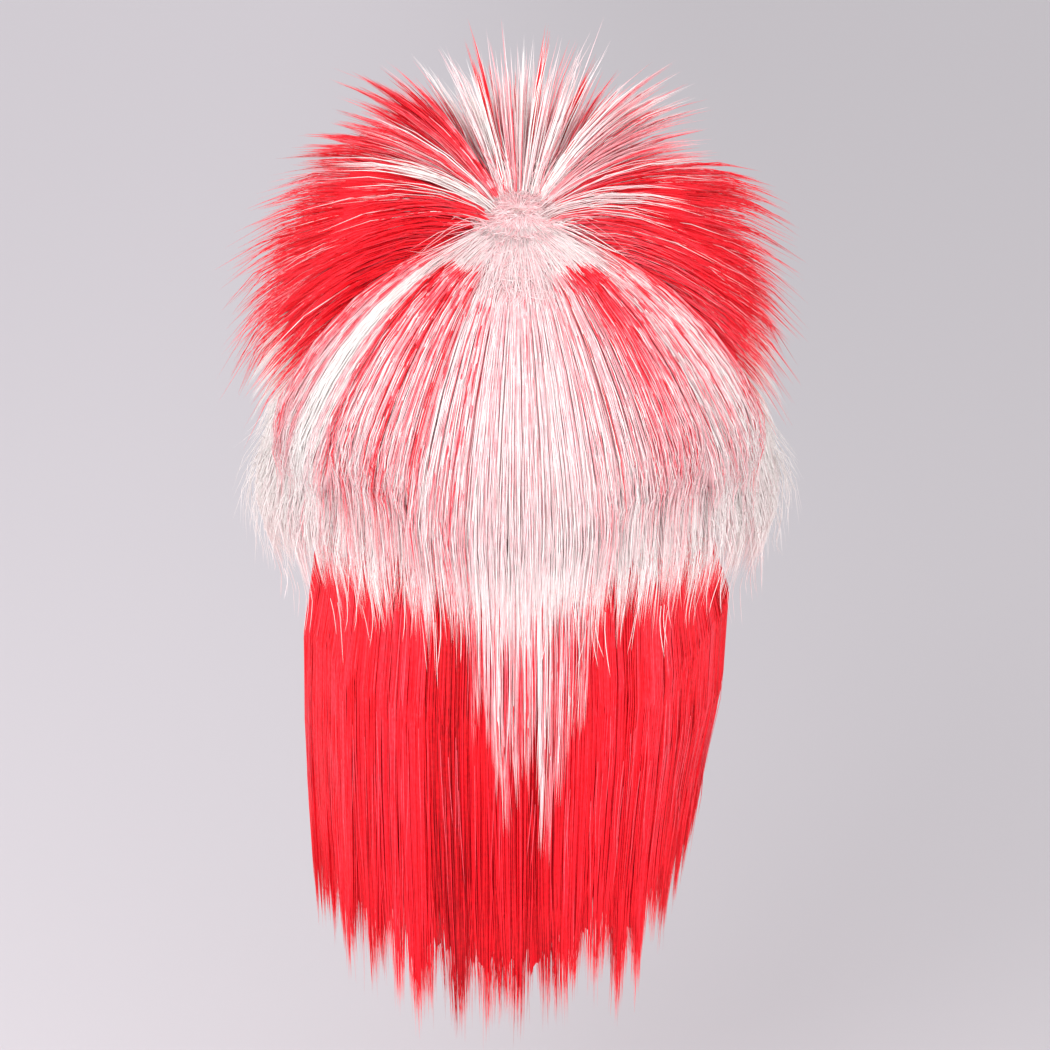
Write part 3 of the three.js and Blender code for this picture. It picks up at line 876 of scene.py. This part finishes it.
# columns: name, first and last turn, tip angle, strands, slot, tone
FRINGES = [
    ("left", -149, -119, 107, 400, "red_hair", 0.78),
    ("centre", 151, 209, 105, 640, "white_hair", 0.08),
    ("right", 119, 149, 107, 400, "red_hair", 0.78),
]
for side, start, end, tip, count, slot, tone in FRINGES:
    table = fringe_table(start, end, tip)

    def close_lying(turn, level, share):
        """The fringe's two rows."""
        return burst(table, FRINGE_REACH, turn, level, share)

    tint = [(start, tone, tone, tone, 0.07), (end, tone, tone, tone, 0.07)]
    across, deep, share, lock = comb(count, 5, 24, (0.05, 0.5), gather=0.6, splay=0.02, lean=0.02)
    turn = mix(start, end, across)
    paths = close_lying(turn, deep * 1.6 - 0.5, share)
    radii = taper(share.shape, 0.00034)
    hair = strands_piece(f"fringe_{side}_hair", paths, radii, tinted(tint, turn, share, lock))
    core = burst_core(f"fringe_{side}_core", table, close_lying, tint, 40, lambda turn: 0.66 + 0 * turn)
    for piece, material in ((hair, FIBRE), (core, COMBED)):
        dress(piece, material, slot, f"fringe_{side}")

# %% [markdown]
# ### White band
#
# A full, soft layer round the back and sides, cut at jaw level, that flares over the tail. It is whitest at
# the sides, and pink and grey threads run through it at the back.

# %% White band
BAND_TINTS = [
    (0.0, 0.03, 0.02, 0.04, 0.04),
    (0.22, 0.03, 0.03, 0.05, 0.06),
    (0.31, 0.14, 0.10, 0.08, 0.13),
    (0.40, 0.26, 0.18, 0.12, 0.18),
    (0.47, 0.12, 0.08, 0.08, 0.08),
    (0.54, 0.08, 0.06, 0.08, 0.08),
    (0.62, 0.10, 0.07, 0.08, 0.14),
    (0.72, 0.06, 0.04, 0.05, 0.09),
    (0.80, 0.03, 0.05, 0.05, 0.06),
    (1.0, 0.03, 0.02, 0.04, 0.04),
]
BAND_STRANDS = 4800


def thick_places(deep, thickness, along):
    """Depths for strands: most lie just over the core, some under it."""
    share = np.where(deep < 0.25, deep, mix(0.68, 1.0, (deep - 0.25) / 0.75))
    return swell(thickness, along) * np.clip(share, 0, 1.1)


across, deep, share, lock = comb(
    BAND_STRANDS, 6, 230, (0.008, 0.5), gather=0.8, splay=0.004, shorten=0.2, uneven=0.2, lean=0.004, late=3
)
share = share * 1.08
paths = off_sheet(band_sheet, across, share, thick_places(deep, CURTAIN_THICKNESS, share))
radii = taper(share.shape, 0.00032, 0.15)
hair = strands_piece("band_hair", paths, radii, tinted(BAND_TINTS, across, share, lock))
core = hanging_core(
    "band_core",
    band_sheet,
    ragged(220, 0.76, 0.3),
    CURTAIN_THICKNESS,
    lambda across, along: column(BAND_TINTS, across, 2),
)
for piece, material in ((hair, FIBRE), (core, COMBED)):
    dress(piece, material, "white_hair", "white_band")

# %% [markdown]
# ### Hair over the back of the head
#
# From the whorl, long hair falls over the back and comes to rest on the white band, so that the two look like
# one layer: white in the middle, a red lock on each side of it, and white again next to the wings. Red and
# white threads mix at the borders of the locks, which looks pink and grey.

# %% Back of the head
def back_table(start, end, tip):
    """The outer row and a lower one, for the same tip angle."""
    return [[(turn, root, tip, off, 0.8) for turn in (start, end)] for root, off in ((7, 1.16), (9, 0.92))]


# columns: turn, tone near the whorl, midway, at the tip, spread. The locks' borders mix red and white.
BACK_TINTS = [
    (-61.5, 0.76, 0.48, 0.08, 0.18),
    (-54.5, 0.66, 0.34, 0.07, 0.16),
    (-52, 0.04, 0.03, 0.06, 0.04),
    (-48.5, 0.04, 0.03, 0.06, 0.04),
    (-46, 0.86, 0.34, 0.06, 0.18),
    (-39, 1.00, 0.36, 0.13, 0.20),
    (-27, 0.60, 0.32, 0.22, 0.22),
    (-15, 0.26, 0.26, 0.16, 0.18),
    (-4, 0.30, 0.22, 0.08, 0.10),
    (10, 0.30, 0.19, 0.09, 0.10),
    (20, 0.35, 0.22, 0.10, 0.16),
    (30, 0.98, 0.44, 0.04, 0.15),
    (40, 0.98, 0.40, 0.03, 0.15),
    (47, 0.50, 0.22, 0.03, 0.18),
    (55, 0.66, 0.34, 0.03, 0.20),
    (61.5, 0.74, 0.44, 0.05, 0.18),
]
# columns: name, first and last turn, tip angle, strands, hem's depth under the crown, where it rests, slot
BACK = [
    ("back_white_left", -62, -42, 80, 750, 0.165, 0.72, "white_hair"),
    ("back_red_left", -42.5, -20, 72, 850, 0.190, 0.66, "red_hair"),
    ("back_white_centre", -20.5, 18.5, 77, 1500, 0.208, 0.64, "white_hair"),
    ("back_red_right", 18, 42, 72, 850, 0.190, 0.66, "red_hair"),
    ("back_white_right", 41.5, 62, 80, 750, 0.165, 0.72, "white_hair"),
]
for name, start, end, tip, count, hem, rest, slot in BACK:
    table = back_table(start, end, tip)

    def falling(turn, level, share):
        """This lock's way down over the band."""
        return fallen(table, BACK_REACH, turn, level, share, hem, rest)

    across, deep, share, lock = comb(
        count, 8, 70, (0.13, 0.6), gather=0.45, splay=0.02, shorten=0.2, uneven=0.2, lean=0.015, late=3
    )
    turn = mix(start, end, across)
    paths = falling(turn, mix(-0.38, 0.45, deep), share)
    radii = taper(share.shape, 0.00032, 0.15)
    hair = strands_piece(f"{name}_hair", paths, radii, tinted(BACK_TINTS, turn, share, lock))
    core = burst_core(
        f"{name}_core", table, falling, BACK_TINTS, 40, lambda turn: 0.74 + 0 * turn, rows=14, inset=-0.4
    )
    for piece, material in ((hair, FIBRE), (core, COMBED)):
        dress(piece, material, slot, name)

# %% [markdown]
# ### Tail
#
# Long straight red hair from the nape, longest in the middle, with a white stripe down its centre that thins
# out to let the red show through.

# %% Tail
# columns: place along the hair, shares of the flare on the left and on the right, share of the set-back
TAIL_TABLE = [
    (0, 0, 0, 0),
    (0.2, 0.72, 0.72, 0.55),
    (0.4, 0.84, 0.66, 1),
    (0.6, 0.84, 0.38, 1),
    (0.75, 0.8, 0.2, 1),
    (1, 0.76, 0.14, 0.9),
]
TAIL_TIPS = [0.86, 0.84, 0.85, 0.88, 0.91, 0.93, 0.93, 0.97, 0.92, 0.86, 0.92, 0.82, 0.79, 0.75, 0.70]
# The red is a little deeper on the left, as painted shade, and lighter on the right, as painted light; it is
# deepest towards the tips in the middle.
TAIL_TINTS = [(0.0, 0.78, 0.79, 0.85, 0.06), (0.5, 0.82, 0.86, 0.93, 0.06), (1.0, 0.74, 0.76, 0.82, 0.06)]
TAIL_STRANDS = 5300
TAIL_WRAP = 76
TAIL_ROOT = 107
TAIL_DROP = 0.420
TAIL_FLARE = 0.033
TAIL_SET_BACK = 0.019
tail_sheet = hanging(TAIL_WRAP, TAIL_ROOT, TAIL_DROP, TAIL_FLARE, TAIL_SET_BACK, TAIL_TABLE)
tip_rows = [(k / (len(TAIL_TIPS) - 1), tip) for k, tip in enumerate(TAIL_TIPS)]

across, deep, share, lock = comb(
    TAIL_STRANDS, 6, 46, (0.026, 0.5), gather=0.7, splay=0.005, shorten=0.14, uneven=0.09, lean=0.008, late=4
)
share = share * column(tip_rows, across[:, :1], 1) * 1.11
paths = off_sheet(tail_sheet, across, share, thick_places(deep, CURTAIN_THICKNESS, share))
radii = taper(share.shape, 0.00037, 0.45)
hair = strands_piece("tail_hair", paths, radii, tinted(TAIL_TINTS, across, share, lock))
places = np.linspace(0.012, 0.988, 220)
core = hanging_core(
    "tail_core",
    tail_sheet,
    ragged(220, 0.9, 0.14) * column(tip_rows, places, 1),
    CURTAIN_THICKNESS,
    lambda across, along: column(TAIL_TINTS, across, 2),
)
for piece, material in ((hair, FIBRE), (core, COMBED)):
    dress(piece, material, "red_hair", "tail_red")

# %% Stripe
STRIPE_FROM = 0.438
STRIPE_TO = 0.592
STRIPE_DROP = 0.306
STRIPE_STRANDS = 1000
STRIPE_TIPS = [(0.0, 0.78), (0.2, 1.04), (0.42, 0.94), (0.58, 0.92), (0.74, 1.13), (1.0, 0.74)]
STRIPE_TINTS = [(0.0, 0.28, 0.52, 0.58, 0.26), (0.5, 0.16, 0.42, 0.48, 0.26), (1.0, 0.28, 0.52, 0.58, 0.26)]
tail_root = tail_sheet(np.array([0.5]), np.array([0.0]))[0, 2]
stripe_length = (STRIPE_DROP + tail_root) / (TAIL_DROP + tail_root)
across, deep, share, lock = comb(
    STRIPE_STRANDS, 5, 60, (0.05, 0.5), gather=0.5, splay=0.02, shorten=0.2, uneven=0.35, lean=0.025
)
across = 0.5 + (across - 0.5) * mix(1.15, 0.92, share)
reached = share * column(STRIPE_TIPS, across[:, :1], 1) * stripe_length
depth = swell(CURTAIN_THICKNESS, reached) + 0.0004 + np.clip(deep, 0, 1) * 0.005
paths = off_sheet(tail_sheet, mix(STRIPE_FROM, STRIPE_TO, across), reached, depth)
radii = taper(share.shape, 0.00034, 0.15)
hair = strands_piece("stripe_hair", paths, radii, tinted(STRIPE_TINTS, across, share, lock))
dress(hair, FIBRE, "white_hair", "tail_stripe")

# %% [markdown]
# ### Stray hairs
#
# Single fibres leave their locks and cross the others at a slant. A few dozen of them, thin and pale, lie
# over the tail and past the band's cut edge, and more stand off the band, so that its outline is soft.

# %% Strays
# columns: name, sheet, strands, where they start, how long they are, how far their tips stand off, tone, node,
# slot
STRAYS = [
    ("tail_strays", tail_sheet, 80, 0.35, 0.4, 0.001, 0.6, "tail_red", "red_hair"),
    ("band_strays", band_sheet, 80, 0.78, 0.44, 0.002, 0.14, "white_band", "white_hair"),
    ("band_wisps", band_sheet, 220, 0.3, 0.75, 0.011, 0.03, "white_band", "white_hair"),
]
for name, sheet, count, start, size, stand_off, tone, node_name, slot in STRAYS:
    share = np.linspace(0, 1, 5) + np.zeros((count, 1))
    first, drift = (RANDOM.uniform(*limits, (count, 1)) for limits in ((0.03, 0.97), (-0.009, 0.009)))
    along = start + size * (RANDOM.uniform(0, 0.4, (count, 1)) + share * RANDOM.uniform(0.3, 0.6, (count, 1)))
    across = first + drift * share**1.5
    depth = CURTAIN_THICKNESS + 0.001 + stand_off * share**2 * RANDOM.uniform(0.4, 1.2, (count, 1))
    radii = taper(share.shape, 0.00018, 0.4)
    hair = strands_piece(name, off_sheet(sheet, across, along, depth), radii, tone + 0 * share)
    dress(hair, FIBRE, slot, node_name)

# %% [markdown]
# ## Light, floor and camera
#
# Plain soft studio light: a large lamp high on the left, a weaker one on the right, a low one that stands for
# the light a white table throws back, and an even sky. The floor is a wide sheet of pale paper, with painted
# light that makes it a little lighter to the left. The plain colour transform keeps the red as strong as it is.

# %% Studio
FLOOR_HEIGHT = -0.56
FLOOR_HALF = 40
floor_mesh = bpy.data.meshes.new("floor")
corners = [(x * FLOOR_HALF, y * FLOOR_HALF, FLOOR_HEIGHT) for x, y in ((-1, -1), (1, -1), (1, 1), (-1, 1))]
floor_mesh.from_pydata(corners, [], [(0, 1, 2, 3)])
floor = bpy.data.objects.new("floor", floor_mesh)
bpy.context.scene.collection.objects.link(floor)


def paper_material():
    """Pale grey paper with a fine mottle, painted a little lighter to the left: painted light."""
    material, tree = start_material("pale_paper")
    place = node(tree, "ShaderNodeTexCoord")
    sides = node(tree, "ShaderNodeSeparateXYZ", {"Vector": place.outputs["Object"]})
    span = {"Value": sides.outputs["X"], "From Min": -0.5, "From Max": 0.4}
    # Painted light: the paper's colour runs lighter towards the left, on the key lamp's side.
    left = node(tree, "ShaderNodeMapRange", span, interpolation_type="SMOOTHSTEP")
    shades = node(tree, "ShaderNodeValToRGB", {"Fac": left.outputs[0]}, [(0.0, "#CEC8CD"), (1.0, "#C0BBBF")])
    pulp = node(tree, "ShaderNodeTexNoise", {"Vector": place.outputs["Object"], "Scale": 400.0})
    bump = node(tree, "ShaderNodeBump", {"Height": pulp.outputs["Fac"], "Strength": 0.1, "Distance": 0.0005})
    links = {"Base Color": shades.outputs["Color"], "Roughness": 0.9, "Normal": bump.outputs["Normal"]}
    shader = node(tree, "ShaderNodeBsdfPrincipled", links)
    node(tree, "ShaderNodeOutputMaterial", {"Surface": shader.outputs["BSDF"]})
    return material


floor_mesh.materials.append(paper_material())

world = bpy.data.worlds.new("studio")
world.use_nodes = True
world.node_tree.nodes["Background"].inputs["Color"].default_value = colour("#F8F8FA")
world.node_tree.nodes["Background"].inputs["Strength"].default_value = 1.05
bpy.context.scene.world = world
bpy.context.scene.view_settings.view_transform = "Standard"


def look(back):
    """The rotation whose +Z points along back, with the camera's or light's top upwards."""
    flat = math.hypot(back[0], back[1])
    return (math.atan2(flat, back[2]), 0, math.atan2(back[0], -back[1]))


def soft_light(name, place, aim, size, power):
    """A square area light that faces a point."""
    light = bpy.data.lights.new(name, "AREA")
    light.size = size
    light.energy = power
    lamp = bpy.data.objects.new(name, light)
    bpy.context.scene.collection.objects.link(lamp)
    lamp.location = place
    lamp.rotation_euler = look(np.array(place) - np.array(aim))


AIM = np.array([0.003, 0.0, -0.18])
soft_light("key", (-1.1, -1.5, 0.75), AIM, 1.3, 24)
soft_light("fill", (1.1, -1.6, -0.05), AIM, 1.3, 19)
soft_light("low", (-0.4, -1.6, -0.5), AIM, 1.0, 9)

CAMERA_DISTANCE = 1.4
CAMERA_RISE = math.radians(20)
SENSOR_WIDTH = 36
WIDTH_SEEN = 0.546
camera_data = bpy.data.cameras.new("camera")
camera_data.sensor_width = SENSOR_WIDTH
camera_data.lens = SENSOR_WIDTH * CAMERA_DISTANCE / WIDTH_SEEN
camera = bpy.data.objects.new("camera", camera_data)
bpy.context.scene.collection.objects.link(camera)
back = np.array([0, -math.cos(CAMERA_RISE), math.sin(CAMERA_RISE)])
camera.location = AIM + CAMERA_DISTANCE * back
camera.rotation_euler = look(back)
bpy.context.scene.camera = camera

# %% Finish
bpy.context.view_layer.update()
